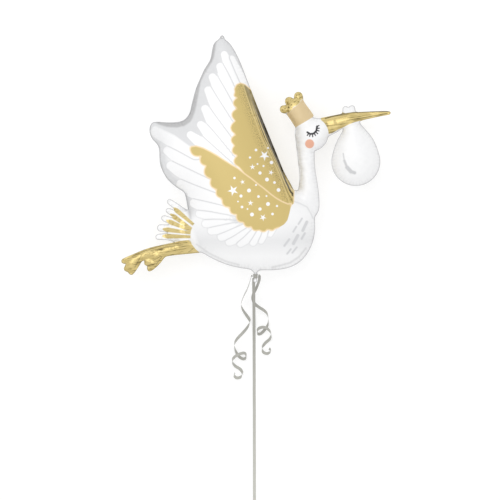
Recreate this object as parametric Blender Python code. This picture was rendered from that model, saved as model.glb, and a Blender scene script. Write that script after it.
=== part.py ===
"""Foil balloon in the shape of a flying stork with a crown and a bundle in its beak, lying on its side.

The balloon is two sheets of foil, sealed together round the figure's outline and filled with gas.
A ribbon is tied round its filling tail: one long straight end with a hand loop, and two curled ends.
The figure lies in the XY plane as seen from above, +X towards the beak and +Y towards the wing tips.
"""

import math

import bmesh
import bpy
import numpy as np
from mathutils import Vector
from mathutils.geometry import delaunay_2d_cdt

# Driving sizes, in metres.
BALLOON_WIDTH = 0.900  # from the hind toes to the tip of the beak
SEAM_WIDTH = 0.0040  # the sealed margin round the figure
SEAM_THICKNESS = 0.0010  # both foils and their seal
PLUMPNESS = 0.72  # 1 would blow narrow limbs up to full round tubes
SPREAD = 0.8  # how much of the way out over a limb's round side the foil's points move
RESTING_DENT = 0.006  # how far the weight presses the underside flat
NOTCH_FILLET = 0.0035  # rounding where two parts of the outline meet
TAB_HOLE_RADIUS = 0.0022  # hanging hole at the wing tip
RIBBON_GAUGE = 0.004  # the plain round cord that stands for the flat ribbon
CLEARANCE = 0.0003  # between pieces that touch
KNOT_WALL = 0.0045
KNOT_LENGTH = 0.012
END_KNOT_SIZE = 0.010
KNOT_SQUARENESS = 0.4  # 1 would be an ellipse

# Fineness of the solids.
CONTOUR_CELL = 0.0025
EDGE_STEP = 0.019
EDGE_TURN = math.radians(44)
LATTICE = ((0.0130, 0.000, 0.026), (0.0190, 0.026, 0.055), (0.0270, 0.055, 1.0))  # spacing, from, to
LATTICE_START = 2.2  # seam widths in from the edge
CREASE_START = 2.0
SHOULDER_START = 0.9
LINE_CLEARANCE = 0.6  # of the lattice's spacing
KNOT_SIDES = 20
KNOT_ROUNDING = 10

# The figure is drawn on squared paper, GRID_SQUARES across: x from the hind toes, y from the lowest toe.
GRID_SQUARES = 270.0
SQUARE = BALLOON_WIDTH / GRID_SQUARES

# Closed curves: the two wings and the body.
FAR_WING = [
    (171, 80), (162.5, 104), (150, 135), (138, 164.5), (127, 193), (119, 213.5), (113, 225.5),
    (107.5, 233), (101, 236), (95, 234), (91.8, 229), (90.6, 221), (88.8, 214), (83.5, 206),
    (79, 196), (75, 187), (72.3, 177), (70.4, 168), (72, 160), (80, 120), (130, 70),
]
NEAR_WING = [
    (70.4, 168), (69.2, 163), (66.9, 158.9), (63.4, 155.2), (58, 153), (47, 152.5), (37, 153.3),
    (31.5, 152.6), (28.8, 148.5), (28.6, 142), (31.5, 135.5), (36.5, 130.5), (38.4, 125), (38.4, 117),
    (39.5, 109), (43.5, 100), (49.5, 92.5), (57, 86.5), (63.4, 82.3), (65.3, 75), (67, 66), (72, 56),
    (120, 50), (150, 90), (90, 140), (76, 165),
]
BODY = [
    (68.5, 60), (68.8, 50), (69.5, 41), (72.5, 33), (79, 24.2), (89, 17.6), (101, 12), (113, 8.2),
    (127, 5.8), (141, 4.8), (156, 5), (169, 7.6), (179.3, 13.2), (187.2, 22.6), (192.2, 33.8),
    (194.2, 45), (194, 54.5), (193, 66), (186, 80), (175, 84.8), (168, 84.8), (130, 90), (90, 80),
]
CROWN_BAND = [(174.4, 147.5), (165.2, 161.5), (168, 166), (178, 173), (181.8, 174.6), (193.3, 159.3)]

# Brush strokes: points of a spine, each with the stroke's half width there.
NECK = [(184, 135, 9.3), (184.9, 120, 8.7), (186.2, 105, 8.2), (187.3, 93, 9.0), (187.3, 79, 11.0), (187.3, 68, 11.2)]
HEAD = [(190.7, 140.7, 16.9)]
BEAK = [(203, 148, 9.6), (209, 149.4, 9.3), (219, 153.4, 7.3), (229, 156.6, 5.6), (239, 158.6, 4.4),
        (249, 160, 3.5), (259, 161.3, 2.6), (267.8, 162.1, 2.0)]
BUNDLE = [(234.8, 113.5, 24.6), (234.5, 125.5, 20.6), (233.3, 139, 12.7), (231.3, 148, 8.8), (230, 157, 8.0)]
BUNDLE_EARS = [
    [(226, 161, 4.5), (224.5, 165.9, 3.2)],
    [(229.5, 161, 4.5), (231, 166.6, 3.4)],
]
CROWN_TOP = [(166.4, 165.3, 3.4), (172, 170.8, 4.2), (178.8, 175.2, 3.4)]
CROWN_BALLS = [[(162.8, 165.7, 4.2)], [(168.2, 173.9, 4.4)], [(177.4, 178.8, 4.5)]]
TAIL_FEATHERS = [
    [(48.6, 73.2, 3.0), (57, 67, 3.6), (70, 54, 6.5)],
    [(47.6, 64.3, 3.1), (57, 59, 3.6), (70, 52, 5.0)],
    [(43.2, 56.7, 3.3), (56, 52, 3.8), (70, 48, 5.0)],
    [(39.7, 47, 3.9), (54, 46, 4.0), (70, 45, 5.0)],
    [(37.4, 38, 3.2), (54, 39, 3.8), (70, 41, 5.0)],
    [(50, 36.5, 3.0), (70, 37, 5.0)],
]
LEG = [(80, 28.5, 6.0), (64, 27.7, 6.9), (49, 25.5, 6.2), (34, 22.5, 6.0), (25, 20.5, 5.3), (18, 18, 4.7)]
TOES = [
    [(18, 18, 4.7), (10, 15.8, 3.9), (2.8, 13.8, 2.7)],
    [(17, 17, 4.5), (10, 10.5, 4.0), (5.8, 6.3, 3.1)],
    [(17.5, 16, 3.8), (14, 9, 3.6), (10.3, 2.8, 2.9)],
    [(39, 19.5, 4.4), (32, 14, 3.6), (26.1, 12.1, 3.1)],
    [(39.5, 19, 4.2), (35, 12.5, 3.7), (28.9, 6.3, 3.0)],
]

CURVES = (FAR_WING, NEAR_WING, BODY)
STROKES = (
    NECK, HEAD, BEAK, BUNDLE, LEG, CROWN_TOP, *BUNDLE_EARS, *CROWN_BALLS, *TAIL_FEATHERS, *TOES,
)
DRAWING_MARGIN = 8.0

# Flat foil outside the gas space: the hanging tab and the filling tail, gathered in the knot.
HANGING_TAB = [(101.2, 235, 2.4), (101.2, 237.5, 2.3)]
TAB_HOLE = (101.2, 237.7)
FILLING_TAIL = [(134.4, 9, 5.5), (134.4, 5.5, 3.4), (134.4, 2, 1.2), (134.4, -3.6, 1.2), (134.4, -5.6, 2.2)]
KNOT_PLACE = (134.4, -1.0)
TAIL_NECK = 1.2 * SQUARE  # half width of the filling tail inside the knot

# Ribbon routes, chosen by hand: x and y in squares, and the height above the floor in metres.
LONG_RIBBON = [
    (132.8, -3.0, 0.1086), (132.7, -7, 0.1050), (132.7, -12, 0.0965), (132.8, -19, 0.0800),
    (132.9, -27, 0.0570), (133.0, -36, 0.0345), (133.1, -46, 0.0160), (133.1, -57, 0.0045),
    (133.2, -70, 0.0020), (133.2, -87, 0.0020), (133.3, -104, 0.0020), (133.3, -121, 0.0020),
    (133.4, -138, 0.0020), (133.4, -155, 0.0020), (133.4, -172, 0.0020), (133.5, -189, 0.0020),
    (133.5, -206, 0.0020), (133.5, -220, 0.0020), (133.5, -233.5, 0.0020),
]
END_KNOT_PLACE = (133.5, -235.1)
HAND_LOOP = [
    (132.6, -237.1), (129.7, -242.5), (128.4, -249), (130.2, -255), (133.5, -257.1),
    (136.8, -255), (138.6, -249), (137.3, -242.5), (134.4, -237.1),
]

# The curled ends: a plain strand from the knot, then the outer shape of the turns that lie on the floor.
# The turns are given by points up their middle: x and y in squares, height and outer radius in metres.
LEFT_STRAND = [
    (131.50, -1, 0.1117), (130.4, -1.2, 0.1110), (129.3, -5, 0.1010), (127.8, -10, 0.0850),
    (125.6, -15.5, 0.0650), (122.9, -21, 0.0460), (120.9, -26, 0.0320),
]
LEFT_TURNS = [
    (122.5, -31.5, 0.0193, 0.0089), (124.2, -40, 0.0150, 0.0148), (121.0, -58.9, 0.0257, 0.0257),
    (119.3, -75.8, 0.0205, 0.0205), (118.1, -84, 0.0240, 0.0240), (116.4, -94, 0.0180, 0.0180),
    (116.8, -104.5, 0.0165, 0.0150),
]
RIGHT_STRAND = [
    (137.30, -1, 0.1117), (138.4, -1.3, 0.1110), (138.2, -5.5, 0.0990), (136.5, -10.5, 0.0800),
    (134.6, -15, 0.0650), (132.4, -19.5, 0.0530), (131.8, -24.5, 0.0420), (133.9, -29.5, 0.0330),
    (138.4, -33.2, 0.0290),
]
RIGHT_TURNS = [
    (143.8, -41, 0.0247, 0.0114), (142.5, -49.8, 0.0190, 0.0180), (143.5, -58.9, 0.0243, 0.0243),
    (145.7, -67.5, 0.0170, 0.0170), (145.5, -75.3, 0.0160, 0.0160), (145.6, -81.5, 0.0160, 0.0140),
]

# Creases: the foil dips where one part of the figure meets the next.
NECK_CREASE = [(193.6, 56), (189.5, 64), (182, 69.5), (172, 73)]
TAIL_CREASE = [(71, 60), (69.6, 50), (70.5, 41), (78.6, 25.5)]
CROWN_CREASE = [(174.6, 147.3), (184, 151), (193.2, 159)]
BEAK_CREASE = [(203, 156.5), (206.4, 149), (207.6, 140.5)]
OVER_BEAK_CREASE = [(221, 161.8), (236, 163.4)]
UNDER_BEAK_CREASE = [(222.5, 147.5), (231, 151.4), (239.5, 154.2)]
WIDE_CREASE, NARROW_CREASE = 0.0130, 0.0083
SHALLOW_DIP, DEEP_DIP = 0.20, 0.34  # as shares of the foil's height there
CREASES = (
    (NECK_CREASE, SHALLOW_DIP, WIDE_CREASE),
    (TAIL_CREASE, DEEP_DIP, WIDE_CREASE),
    (CROWN_CREASE, DEEP_DIP, NARROW_CREASE),
    (BEAK_CREASE, DEEP_DIP, NARROW_CREASE),
    (OVER_BEAK_CREASE, DEEP_DIP, NARROW_CREASE),
    (UNDER_BEAK_CREASE, DEEP_DIP, NARROW_CREASE),
)

FOIL_WHITE = (0.90, 0.90, 0.91, 1)
RIBBON_GREY = (0.40, 0.40, 0.34, 1)
GOLD_KNOT = (0.55, 0.52, 0.45, 1)


def smooth_path(points, closed=False, steps=8):
    """Points of a smooth curve through the given points, with any further columns smoothed along."""
    given = np.array(points, float)
    if len(given) < 3:
        share = np.linspace(0, 1, steps + 1)[:, None]
        return given[:1] if len(given) == 1 else given[0] * (1 - share) + given[-1] * share
    if closed:
        around = np.vstack([given[-1:], given, given[:2]])
    else:
        around = np.vstack([2 * given[0] - given[1], given, 2 * given[-1] - given[-2]])
    run = []
    for before, start, end, after in zip(around, around[1:], around[2:], around[3:]):
        t = np.arange(steps)[:, None] / steps
        run.append(
            start
            + 0.5 * t * (end - before)
            + t**2 * (before - 2.5 * start + 2 * end - 0.5 * after)
            + t**3 * (1.5 * (start - end) + 0.5 * (after - before))
        )
    smooth = np.vstack(run)
    return smooth if closed else np.vstack([smooth, given[-1:]])


def stroke_distance(places, stroke):
    """Signed distance from each place to a brush stroke, negative inside it."""
    nearest = np.full(len(places), np.inf)
    for x, y, radius in smooth_path(stroke):
        nearest = np.minimum(nearest, np.hypot(places[:, 0] - x, places[:, 1] - y) - radius)
    return nearest


def curve_distance(places, corners):
    """Signed distance from each place to a closed line, negative inside it."""
    nearest = np.full(len(places), np.inf)
    inside = np.zeros(len(places), bool)
    for start, end in zip(corners, np.roll(corners, -1, axis=0)):
        side, offset = end - start, places - start
        share = np.clip(offset @ side / (side @ side), 0, 1)
        nearest = np.minimum(nearest, np.hypot(*(offset - share[:, None] * side).T))
        if start[1] != end[1]:
            crosses = (start[1] > places[:, 1]) != (end[1] > places[:, 1])
            reach = side[0] * (places[:, 1] - start[1]) / side[1] + start[0]
            inside ^= crosses & (places[:, 0] < reach)
    return np.where(inside, -nearest, nearest)


def joined(first, second):
    """Distance to two shapes joined, with a fillet in the notch between them."""
    fillet = NOTCH_FILLET / SQUARE
    blend = np.maximum(fillet - np.abs(first - second), 0)
    return np.minimum(first, second) - blend**2 / (4 * fillet)


def drawing_box():
    """The lower left and upper right corners of the drawing, in squares, with a margin round it."""
    points = np.array([p[:2] for line in (*CURVES, *STROKES, HANGING_TAB, FILLING_TAIL) for p in line])
    return points.min(axis=0) - DRAWING_MARGIN, points.max(axis=0) + DRAWING_MARGIN


def figure_distance(places):
    """Signed distance to the outline of the gas-filled figure, in squares."""
    distance = curve_distance(places, np.array(CROWN_BAND))
    for curve in CURVES:
        distance = joined(distance, curve_distance(places, smooth_path(curve, closed=True, steps=4)))
    for stroke in STROKES:
        distance = joined(distance, stroke_distance(places, stroke))
    return distance


def sheet_distance(places):
    """Signed distance to the edge of the foil: the figure with its hanging tab and filling tail."""
    distance = figure_distance(places)
    for stroke in (HANGING_TAB, FILLING_TAIL):
        distance = joined(distance, stroke_distance(places, stroke))
    return distance


def foil_outline():
    """The edge of the foil as one closed run of points, in squares, close together."""
    low, high = drawing_box()
    columns, rows = ((high - low) * SQUARE / CONTOUR_CELL).astype(int)
    bm = bmesh.new()
    bmesh.ops.create_grid(bm, x_segments=columns, y_segments=rows, size=0.5)
    places = np.array([v.co[:2] for v in bm.verts]) * (high - low) + (low + high) / 2
    for vertex, (x, y), height in zip(bm.verts, places, sheet_distance(places)):
        vertex.co = x, y, height
    everything = bm.verts[:] + bm.edges[:] + bm.faces[:]
    bmesh.ops.bisect_plane(bm, geom=everything, plane_co=(0, 0, 0), plane_no=(0, 0, 1), clear_outer=True)
    edge = [e for e in bm.edges if e.is_boundary]
    vertex = edge[0].verts[0]
    run, seen = [], set()
    while vertex not in seen:
        seen.add(vertex)
        run.append(vertex.co[:2])
        onward = [e.other_vert(vertex) for e in vertex.link_edges if e.is_boundary]
        vertex = next((v for v in onward if v not in seen), vertex)
    bm.free()
    run = np.array(run)
    area = 0.5 * np.sum(run[:, 0] * np.roll(run[:, 1], -1) - run[:, 1] * np.roll(run[:, 0], -1))
    return run if area > 0 else run[::-1]


def spaced_outline(run):
    """The outline again with points close together on bends and far apart on straight stretches."""
    for _ in range(2):
        run = (np.roll(run, 1, axis=0) + 2 * run + np.roll(run, -1, axis=0)) / 4
    ahead = np.roll(run, -1, axis=0) - run
    length = np.hypot(*ahead.T)
    heading = np.unwrap(np.arctan2(ahead[:, 1], ahead[:, 0]))
    turn = np.abs(np.diff(heading, append=heading[0] + 2 * math.pi))
    cost = np.cumsum(length * SQUARE / EDGE_STEP + turn / EDGE_TURN)
    count = int(cost[-1])
    at = np.arange(count) * cost[-1] / count
    return np.column_stack([np.interp(at, cost, run[:, k]) for k in range(2)])


def inward(run):
    """The unit direction into the foil at each point of a counter-clockwise outline."""
    along = np.roll(run, -1, axis=0) - np.roll(run, 1, axis=0)
    return np.column_stack([-along[:, 1], along[:, 0]]) / np.hypot(*along.T)[:, None]


def lattice_points(outline, lines):
    """Points inside the figure, closer together near its outline and clear of the given lines."""
    low, high = drawing_box()
    found = []
    for spacing, nearest, furthest in LATTICE:
        step = spacing / SQUARE
        xs = np.arange(low[0], high[0], step)
        ys = np.arange(low[1], high[1], step * math.sqrt(3) / 2)
        grid = np.array([(x + step / 2 * (row % 2), y) for row, y in enumerate(ys) for x in xs])
        grid = grid[figure_distance(grid) < 0]
        depth = SQUARE * np.min(np.hypot(*(grid[:, None] - outline[None]).transpose(2, 0, 1)), axis=1)
        grid = grid[(depth >= max(nearest, LATTICE_START * SEAM_WIDTH)) & (depth < furthest)]
        for line in lines:
            away = np.min(np.hypot(*(grid[:, None] - line[None]).transpose(2, 0, 1)), axis=1)
            grid = grid[away > LINE_CLEARANCE * step]
        found.append(grid)
    return np.vstack(found)


def crease_line(points):
    """A crease as points a lattice step apart."""
    smooth = smooth_path(points)
    along = np.concatenate([[0], np.cumsum(np.hypot(*np.diff(smooth, axis=0).T))])
    count = max(2, round(along[-1] * SQUARE / LATTICE[0][0]))
    at = np.linspace(0, along[-1], count + 1)
    return np.column_stack([np.interp(at, along, smooth[:, k]) for k in range(2)])


def flat_sheet():
    """One foil laid flat: its points in squares, and its triangles."""
    outline = spaced_outline(foil_outline())
    hole_turn = np.arange(8) * math.pi / 4
    hole = np.column_stack([np.cos(hole_turn), np.sin(hole_turn)]) * TAB_HOLE_RADIUS / SQUARE + TAB_HOLE
    seam = SEAM_WIDTH / SQUARE
    shoulder = outline + inward(outline) * seam
    shoulder = shoulder[figure_distance(shoulder) < -SHOULDER_START * seam]
    lines = [crease_line(points) for points, _, _ in CREASES]
    creases = [line[figure_distance(line) < -CREASE_START * seam] for line in lines]
    loose = [shoulder, lattice_points(outline, creases)]
    edges, points, start = [], [], 0
    for loop in (outline, hole):
        edges += [(start + i, start + (i + 1) % len(loop)) for i in range(len(loop))]
        points.append(loop)
        start += len(loop)
    for line in creases:
        edges += [(start + i, start + i + 1) for i in range(len(line) - 1)]
        points.append(line)
        start += len(line)
    placed = np.vstack(points + loose)
    found, _, faces, *_ = delaunay_2d_cdt([Vector(p) for p in placed], edges, [], 1, 1e-5)
    found, triangles = np.array([v[:] for v in found]), np.array(faces)
    middle = found[triangles].mean(axis=1)
    triangles = triangles[np.hypot(*(middle - TAB_HOLE).T) > TAB_HOLE_RADIUS / SQUARE]
    used = np.unique(triangles)
    return found[used], np.searchsorted(used, triangles)


def gas_pressure_swell(points, triangles, free):
    """The membrane's swelling: solves for u with a unit load, held at 0 on points that aren't free."""
    corners = points[triangles]
    opposite = corners[:, (2, 0, 1)] - corners[:, (1, 2, 0)]
    area = 0.5 * np.abs(np.cross(opposite[:, 0], opposite[:, 1]))
    count = len(points)
    stiffness, load = np.zeros((count, count)), np.zeros(count)
    for i in range(3):
        np.add.at(load, triangles[:, i], area / 3)
        for j in range(3):
            share = np.sum(opposite[:, i] * opposite[:, j], axis=1) / (4 * area)
            np.add.at(stiffness, (triangles[:, i], triangles[:, j]), share)
    swell = np.zeros(count)
    swell[free] = np.linalg.solve(stiffness[np.ix_(free, free)], load[free])
    return swell


def swell_slope(points, triangles, swell):
    """The slope of the swelling at each point, averaged over the triangles round it."""
    corners = points[triangles]
    opposite = corners[:, (2, 0, 1)] - corners[:, (1, 2, 0)]
    turned = np.stack([-opposite[..., 1], opposite[..., 0]], axis=-1)
    double_area = np.cross(opposite[:, 0], opposite[:, 1])
    slope = (turned * swell[triangles][..., None]).sum(axis=1) / double_area[:, None]
    total, weight = np.zeros((len(points), 2)), np.zeros(len(points))
    for i in range(3):
        np.add.at(total, triangles[:, i], slope * np.abs(double_area)[:, None])
        np.add.at(weight, triangles[:, i], np.abs(double_area))
    return total / weight[:, None]


def blown_sheet(points, triangles):
    """The flat sheet blown up: each point moves out over the swelling and up, by its place across the limb."""
    free = SQUARE * figure_distance(points) < -SEAM_WIDTH - CLEARANCE
    swell = gas_pressure_swell(points, triangles, free)
    slope = swell_slope(points, triangles, swell)
    steepness = np.hypot(*slope.T)
    half_width = np.sqrt(2 * swell + steepness**2)
    across = np.divide(steepness, half_width, out=np.zeros_like(swell), where=half_width > 0) * math.pi / 2
    height = PLUMPNESS * half_width * np.cos(across)
    push = half_width * np.sin(across) - steepness
    outwards = -slope / np.maximum(steepness, 1e-9)[:, None]
    moved = points + outwards * (SPREAD * push * free)[:, None]
    for line, depth, width in CREASES:
        smooth = smooth_path(line)
        away = np.min(np.hypot(*(points[:, None] - smooth[None]).transpose(2, 0, 1)), axis=1)
        height *= 1 - depth * np.exp(-((away * SQUARE / width) ** 2))
    return moved, np.where(free, height, 0)


def new_object(name, bm, material):
    mesh = bpy.data.meshes.new(name)
    bm.to_mesh(mesh)
    bm.free()
    mesh.materials.append(material)
    mesh.shade_smooth()
    mesh.set_sharp_from_angle(angle=math.radians(40))
    made = bpy.data.objects.new(name, mesh)
    bpy.context.scene.collection.objects.link(made)
    return made


def finish(name, colour, roughness, metallic):
    material = bpy.data.materials.new(name)
    material.use_nodes = True
    shader = material.node_tree.nodes["Principled BSDF"]
    shader.inputs["Base Color"].default_value = colour
    shader.inputs["Roughness"].default_value = roughness
    shader.inputs["Metallic"].default_value = metallic
    return material


def foil_balloon(material):
    """The blown-up envelope, and the place in the row frame of a point given in squares."""
    points, triangles = flat_sheet()
    moved, height = blown_sheet(points, triangles)
    centre = (points.min(axis=0) + points.max(axis=0)) / 2
    seam_level = height.max() * SQUARE + SEAM_THICKNESS / 2 - RESTING_DENT

    bm = bmesh.new()
    for (x, y), z in zip((moved - centre) * SQUARE, height * SQUARE + SEAM_THICKNESS / 2):
        bm.verts.new((x, y, z))
    bm.verts.ensure_lookup_table()
    for triangle in triangles:
        bm.faces.new([bm.verts[i] for i in triangle])
    bmesh.ops.recalc_face_normals(bm, faces=bm.faces)
    if sum(face.normal.z for face in bm.faces) < 0:
        bmesh.ops.reverse_faces(bm, faces=bm.faces)
    rim = [e for e in bm.edges if e.is_boundary]
    wall = bmesh.ops.extrude_edge_only(bm, edges=rim)["geom"]
    for vertex in (v for v in wall if isinstance(v, bmesh.types.BMVert)):
        vertex.co.z = 0
    everything = bm.verts[:] + bm.edges[:] + bm.faces[:]
    bmesh.ops.mirror(bm, geom=everything, axis="Z", merge_dist=1e-6)
    bmesh.ops.remove_doubles(bm, verts=bm.verts, dist=1e-6)
    everything = bm.verts[:] + bm.edges[:] + bm.faces[:]
    floor = (0, 0, -seam_level)
    cut = bmesh.ops.bisect_plane(bm, geom=everything, plane_co=floor, plane_no=(0, 0, -1), clear_outer=True)
    ring = [e for e in cut["geom_cut"] if isinstance(e, bmesh.types.BMEdge)]
    bmesh.ops.contextual_create(bm, geom=ring)
    bmesh.ops.recalc_face_normals(bm, faces=bm.faces)
    bmesh.ops.translate(bm, verts=bm.verts, vec=(0, 0, seam_level))
    new_object("foil_balloon", bm, material)

    def place(x, y, z=0.0):
        return Vector(((x - centre[0]) * SQUARE, (y - centre[1]) * SQUARE, z))

    return place, seam_level


def round_cord(name, route, material, radii=None):
    """A tube with filled ends along the route, RIBBON_GAUGE thick or of the given radii."""
    data = bpy.data.curves.new(name, "CURVE")
    data.dimensions = "3D"
    data.bevel_depth = RIBBON_GAUGE / 2
    data.bevel_resolution = 2
    data.use_fill_caps = True
    spline = data.splines.new("POLY")
    spline.points.add(len(route) - 1)
    for i, (point, place) in enumerate(zip(spline.points, route)):
        point.co = (*place, 1)
        point.radius = 1 if radii is None else radii[i] / data.bevel_depth
    data.materials.append(material)
    made = bpy.data.objects.new(name, data)
    bpy.context.scene.collection.objects.link(made)
    return made


def long_ribbon(place, material):
    route = smooth_path([place(x, y, z) for x, y, z in LONG_RIBBON], steps=2)
    route[:, 2] = np.maximum(route[:, 2], RIBBON_GAUGE / 2)
    round_cord("long_ribbon", route, material)


def hand_loop(place, material):
    floor = RIBBON_GAUGE / 2
    route = smooth_path([place(x, y, floor) for x, y in HAND_LOOP], steps=3)
    round_cord("hand_loop", route, material)


def curl(name, place, strand, turns, material):
    """One curled end as its plain strand and the outer shape of its turns, in one body."""
    route = [(*place(x, y, z), RIBBON_GAUGE / 2) for x, y, z in strand]
    route += [(*place(x, y, z), radius) for x, y, z, radius in turns]
    rounded = smooth_path(route, steps=3)
    radius = np.maximum(rounded[:, 3], RIBBON_GAUGE / 2)
    height = np.maximum(rounded[:, 2], radius)
    round_cord(name, np.column_stack([rounded[:, :2], height]), material, radius)


def tail_knot(place, seam_level, material):
    """The knot round the filling tail: a flat oval ring."""
    bm = bmesh.new()
    centre = place(*KNOT_PLACE, seam_level)
    rings = []
    for i in range(KNOT_ROUNDING):
        around = 2 * math.pi * i / KNOT_ROUNDING
        wall = KNOT_WALL * (1 + math.sin(around)) / 2
        wide = TAIL_NECK + CLEARANCE + wall
        thick = SEAM_THICKNESS / 2 + CLEARANCE + wall
        y = KNOT_LENGTH / 2 * math.cos(around)
        ring = []
        for k in range(KNOT_SIDES):
            turn = 2 * math.pi * k / KNOT_SIDES
            across, up = (math.copysign(abs(f(turn)) ** KNOT_SQUARENESS, f(turn)) for f in (math.cos, math.sin))
            ring.append(bm.verts.new(centre + Vector((wide * across, y, thick * up))))
        rings.append(ring)
    for ring, after in zip(rings, rings[1:] + rings[:1]):
        for k in range(KNOT_SIDES):
            bm.faces.new((ring[k], ring[k - 1], after[k - 1], after[k]))
    bmesh.ops.recalc_face_normals(bm, faces=bm.faces)
    new_object("tail_knot", bm, material)


def end_knot(place, material):
    """The small knot that ties the hand loop."""
    bm = bmesh.new()
    bmesh.ops.create_uvsphere(bm, u_segments=16, v_segments=10, radius=END_KNOT_SIZE / 2)
    bmesh.ops.scale(bm, verts=bm.verts, vec=(1, 1, 0.8))
    bmesh.ops.translate(bm, verts=bm.verts, vec=place(*END_KNOT_PLACE, 0.4 * END_KNOT_SIZE))
    new_object("end_knot", bm, material)


def main():
    for old in list(bpy.data.objects):
        bpy.data.objects.remove(old)
    foil = finish("white_foil", FOIL_WHITE, 0.3, 0.2)
    ribbon = finish("satin_ribbon", RIBBON_GREY, 0.45, 0)
    knot = finish("ribbon_knots", GOLD_KNOT, 0.45, 0)
    place, seam_level = foil_balloon(foil)
    tail_knot(place, seam_level, knot)
    long_ribbon(place, ribbon)
    end_knot(place, knot)
    hand_loop(place, ribbon)
    curl("left_curl", place, LEFT_STRAND, LEFT_TURNS, ribbon)
    curl("right_curl", place, RIGHT_STRAND, RIGHT_TURNS, ribbon)


main()
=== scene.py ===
"""A stork foil balloon lying on a pale floor, seen from straight above.

The figure's print is drawn on squared paper laid over the balloon: x from the hind toes, y from the lowest
toe, GRID_SQUARES across. Each vertex keeps the distance to the edge of each printed area, and the foil's
material draws the edges from those distances. Over the print the material also paints shade beside the
seam, over the belly and at the near wing's tip, and reflections in the mirror-bright gold.
"""

import math

import bmesh
import bpy
import numpy as np
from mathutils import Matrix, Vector
from mathutils.kdtree import KDTree


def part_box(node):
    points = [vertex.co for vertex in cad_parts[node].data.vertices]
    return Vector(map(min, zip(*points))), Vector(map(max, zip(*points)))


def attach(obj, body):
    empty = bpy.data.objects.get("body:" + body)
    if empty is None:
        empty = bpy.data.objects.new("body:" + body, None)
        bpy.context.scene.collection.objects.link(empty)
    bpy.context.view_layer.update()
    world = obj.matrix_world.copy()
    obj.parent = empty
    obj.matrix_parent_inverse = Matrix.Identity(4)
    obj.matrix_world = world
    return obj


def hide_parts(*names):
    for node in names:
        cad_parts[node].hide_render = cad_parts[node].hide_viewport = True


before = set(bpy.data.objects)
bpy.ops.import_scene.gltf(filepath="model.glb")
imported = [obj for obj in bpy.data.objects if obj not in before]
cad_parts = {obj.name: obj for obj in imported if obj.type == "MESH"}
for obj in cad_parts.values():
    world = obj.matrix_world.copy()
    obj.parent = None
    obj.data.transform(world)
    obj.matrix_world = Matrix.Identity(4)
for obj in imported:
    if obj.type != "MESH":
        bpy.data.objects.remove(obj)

# Sizes, in metres.
BALLOON_WIDTH = 0.900
GRID_SQUARES = 270.0
SQUARE = BALLOON_WIDTH / GRID_SQUARES
RIBBON_WIDTH = 0.010
RIBBON_THICKNESS = 0.0004
RIBBON_GAUGE = 0.004  # the round cord that stands for the ribbon in the frame
PICTURE_SIDE = 500.0 * SQUARE
PICTURE_MIDDLE = (129.0, 25.0)  # in squares

# The knot's place in squares fixes the squared paper to the frame.
KNOT_PLACE = (134.4, -1.0)

low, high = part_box("tail_knot")
KNOT_CENTRE = (low + high) / 2
SEAM_LEVEL = KNOT_CENTRE.z

# Ribbon routes: x and y in squares, and the height above the floor in metres.
LONG_RIBBON = [
    (132.8, -3.0, 0.1086), (132.7, -7, 0.1050), (132.7, -12, 0.0965), (132.8, -19, 0.0800),
    (132.9, -27, 0.0570), (133.0, -36, 0.0345), (133.1, -46, 0.0160), (133.1, -57, 0.0045),
    (133.2, -70, 0.0020), (133.2, -87, 0.0020), (133.3, -104, 0.0020), (133.3, -121, 0.0020),
    (133.4, -138, 0.0020), (133.4, -155, 0.0020), (133.4, -172, 0.0020), (133.5, -189, 0.0020),
    (133.5, -206, 0.0020), (133.5, -220, 0.0020), (133.5, -233.5, 0.0020),
]
HAND_LOOP = [
    (132.6, -237.1), (129.7, -242.5), (128.4, -249), (130.2, -255), (133.5, -257.1),
    (136.8, -255), (138.6, -249), (137.3, -242.5), (134.4, -237.1),
]
HAND_LOOP_MIDDLE = (133.5, -247)
LEFT_STRAND = [
    (131.50, -1, 0.1117), (130.4, -1.2, 0.1110), (129.3, -5, 0.1010), (127.8, -10, 0.0850),
    (125.6, -15.5, 0.0650), (122.9, -21, 0.0460), (120.9, -26, 0.0320),
]
# The curled stretches also say how far the ribbon's face is turned from straight up, in degrees.
LEFT_CURL = [
    (119.9, -30.4, 0.0230, -90), (121.6, -35.5, 0.0150, -120), (125.2, -41.0, 0.0080, -150),
    (128.4, -45.8, 0.0080, -215), (128.7, -49.0, 0.0150, -265), (125.8, -54.0, 0.0300, -320),
    (121.3, -59.2, 0.0390, -355), (115.9, -65.0, 0.0380, -395), (113.1, -70.5, 0.0260, -440),
    (114.2, -77.0, 0.0120, -480), (118.0, -83.5, 0.0035, -530), (122.6, -85.8, 0.0060, -575),
    (125.3, -83.2, 0.0150, -630), (123.6, -79.6, 0.0250, -680), (118.4, -80.4, 0.0300, -715),
    (112.9, -83.8, 0.0270, -760), (110.9, -88.0, 0.0180, -805), (113.6, -92.6, 0.0080, -860),
    (119.0, -96.2, 0.0050, -905), (121.3, -100.2, 0.0100, -960), (119.6, -103.8, 0.0190, -1020),
    (115.6, -104.7, 0.0230, -1080), (112.9, -102.4, 0.0200, -1140), (113.6, -99.8, 0.0130, -1190),
]
RIGHT_STRAND = [
    (137.30, -1, 0.1117), (138.4, -1.3, 0.1110), (138.2, -5.5, 0.0990), (136.5, -10.5, 0.0800),
    (134.6, -15, 0.0650), (132.4, -19.5, 0.0530), (131.8, -24.5, 0.0420), (133.9, -29.5, 0.0330),
    (138.4, -33.2, 0.0290),
]
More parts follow.
